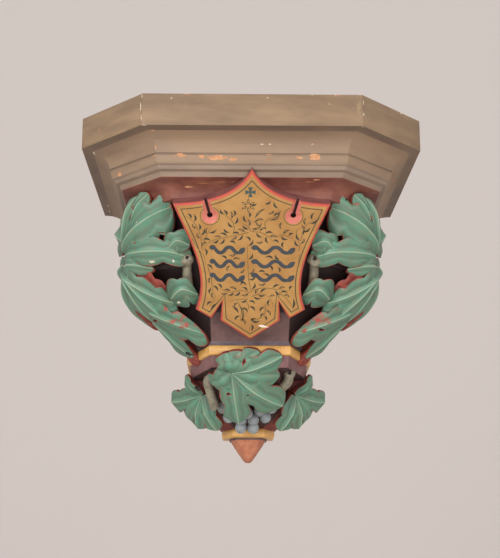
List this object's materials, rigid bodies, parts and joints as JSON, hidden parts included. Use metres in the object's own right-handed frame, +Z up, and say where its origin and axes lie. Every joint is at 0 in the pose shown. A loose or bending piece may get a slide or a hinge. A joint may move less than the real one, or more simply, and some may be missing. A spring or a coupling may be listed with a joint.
{
  "type": "plaster corbel",
  "caption": "Half-octagon statue bracket of cast plaster with a leaning shield, vine leaves round both corners, grapes, gilded bands and a pendant.",
  "frame": {"origin": "point on the middle of the flat back face, 100 mm below the top of the shelf, where the corbel is fixed to the wall", "axes": "+Y into the wall, -Y out to the front, +X to the viewer's right from the front, +Z up"},
  "size_m": [0.36, 0.305, 0.343],
  "materials": {
    "painted_plaster": "matte"
  },
  "bodies": {
    "root": {"corbel": "painted_plaster"}
  },
  "joints": []
}
